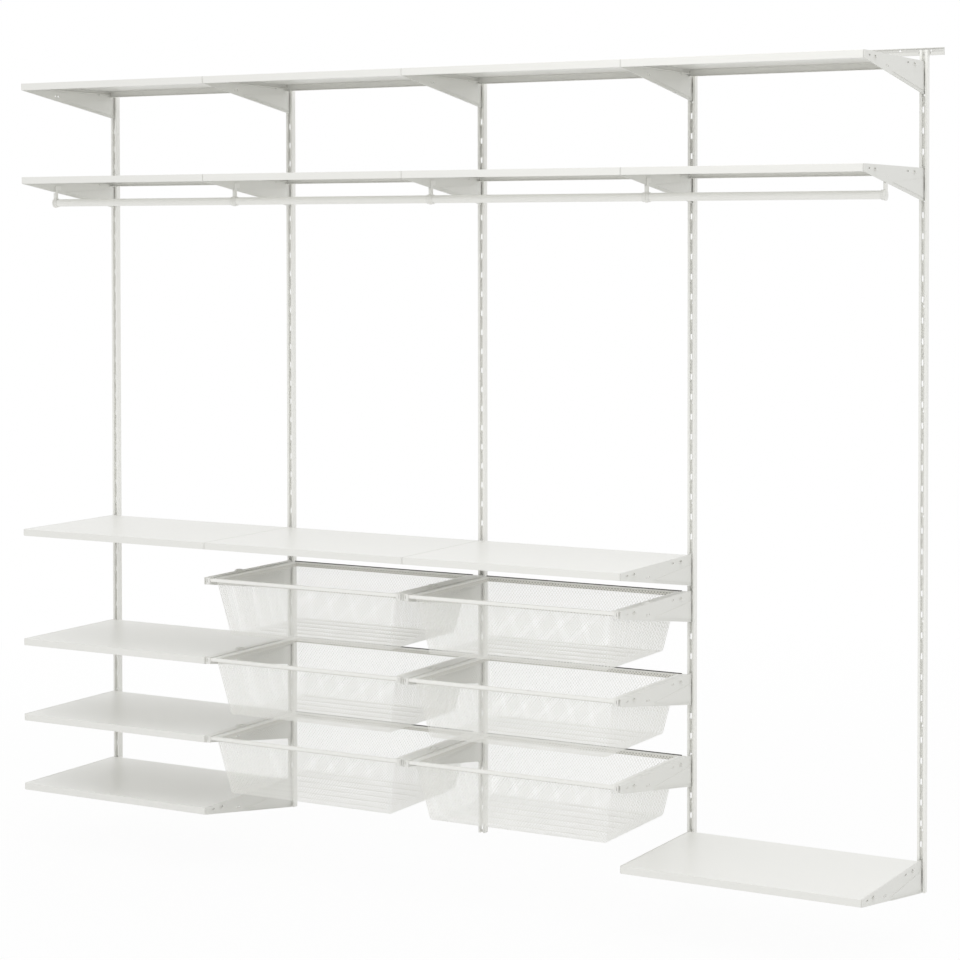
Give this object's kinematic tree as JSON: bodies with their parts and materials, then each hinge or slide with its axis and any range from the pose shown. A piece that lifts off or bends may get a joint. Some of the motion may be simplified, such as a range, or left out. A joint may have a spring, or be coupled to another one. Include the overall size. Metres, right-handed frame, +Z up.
{
  "type": "wall-mounted closet system",
  "caption": "Wall-mounted closet system in white steel: a rail and slotted uprights carry shelves, clothes rails and pull-out mesh baskets.",
  "frame": {"origin": "on the wall plane behind the suspension rail, at the rail's mid-height and at the middle upright", "axes": "+X along the wall to the right as seen from the room, +Y into the wall, +Z up"},
  "size_m": [2.4895, 0.398, 2.0107],
  "materials": {
    "rail_steel": "white powder coat, satin",
    "upright_steel": "white powder coat, satin",
    "bracket_steel": "white powder coat, satin",
    "shelf_steel": "white powder coat, satin, slightly textured",
    "tube_steel": "white powder coat, semi-gloss",
    "hanger_steel": "white powder coat, satin",
    "basket_steel": "white powder coat, satin",
    "mesh_steel": "white coated expanded metal, satin",
    "cap_plastic": "matte white",
    "runner_plastic": "matte white"
  },
  "bodies": {
    "frame": {"suspension_rail_1": "rail_steel", "suspension_rail_2": "rail_steel", "suspension_rail_3": "rail_steel", "suspension_rail_4": "rail_steel", "wall_upright_1": "upright_steel", "wall_upright_2": "upright_steel", "wall_upright_3": "upright_steel", "wall_upright_4": "upright_steel", "wall_upright_5": "upright_steel", "top_brackets": "bracket_steel", "upper_brackets": "bracket_steel", "middle_brackets": "bracket_steel", "row_1_brackets": "bracket_steel", "row_2_brackets": "bracket_steel", "row_3_brackets": "bracket_steel", "base_brackets": "bracket_steel", "top_shelf_1": "shelf_steel", "top_shelf_2": "shelf_steel", "top_shelf_3": "shelf_steel", "top_shelf_4": "shelf_steel", "upper_shelf_1": "shelf_steel", "upper_shelf_2": "shelf_steel", "upper_shelf_3": "shelf_steel", "upper_shelf_4": "shelf_steel", "middle_shelf_1": "shelf_steel", "middle_shelf_2": "shelf_steel", "middle_shelf_3": "shelf_steel", "side_shelf_upper": "shelf_steel", "side_shelf_middle": "shelf_steel", "side_shelf_lower": "shelf_steel", "low_shelf": "shelf_steel", "clothes_rail_1": "tube_steel", "clothes_rail_2": "tube_steel", "clothes_rail_3": "tube_steel", "clothes_rail_4": "tube_steel", "clothes_rail_hangers": "hanger_steel", "row_1_basket_runners": "runner_plastic", "row_2_basket_runners": "runner_plastic", "row_3_basket_runners": "runner_plastic"},
    "basket_left_upper": {"basket_left_upper_rim": "basket_steel", "basket_left_upper_end_caps": "cap_plastic", "basket_left_upper_mesh": "mesh_steel"},
    "basket_left_middle": {"basket_left_middle_rim": "basket_steel", "basket_left_middle_end_caps": "cap_plastic", "basket_left_middle_mesh": "mesh_steel"},
    "basket_left_lower": {"basket_left_lower_rim": "basket_steel", "basket_left_lower_end_caps": "cap_plastic", "basket_left_lower_mesh": "mesh_steel"},
    "basket_right_upper": {"basket_right_upper_rim": "basket_steel", "basket_right_upper_end_caps": "cap_plastic", "basket_right_upper_mesh": "mesh_steel"},
    "basket_right_middle": {"basket_right_middle_rim": "basket_steel", "basket_right_middle_end_caps": "cap_plastic", "basket_right_middle_mesh": "mesh_steel"},
    "basket_right_lower": {"basket_right_lower_rim": "basket_steel", "basket_right_lower_end_caps": "cap_plastic", "basket_right_lower_mesh": "mesh_steel"}
  },
  "joints": [
    {"name": "basket_left_upper_slide", "type": "slide", "parent": "frame", "child": "basket_left_upper", "axis": [0, -1, 0], "range_m": [0, 0.28]},
    {"name": "basket_left_middle_slide", "type": "slide", "parent": "frame", "child": "basket_left_middle", "axis": [0, -1, 0], "range_m": [0, 0.28]},
    {"name": "basket_left_lower_slide", "type": "slide", "parent": "frame", "child": "basket_left_lower", "axis": [0, -1, 0], "range_m": [0, 0.28]},
    {"name": "basket_right_upper_slide", "type": "slide", "parent": "frame", "child": "basket_right_upper", "axis": [0, -1, 0], "range_m": [0, 0.28]},
    {"name": "basket_right_middle_slide", "type": "slide", "parent": "frame", "child": "basket_right_middle", "axis": [0, -1, 0], "range_m": [0, 0.28]},
    {"name": "basket_right_lower_slide", "type": "slide", "parent": "frame", "child": "basket_right_lower", "axis": [0, -1, 0], "range_m": [0, 0.28]}
  ]
}
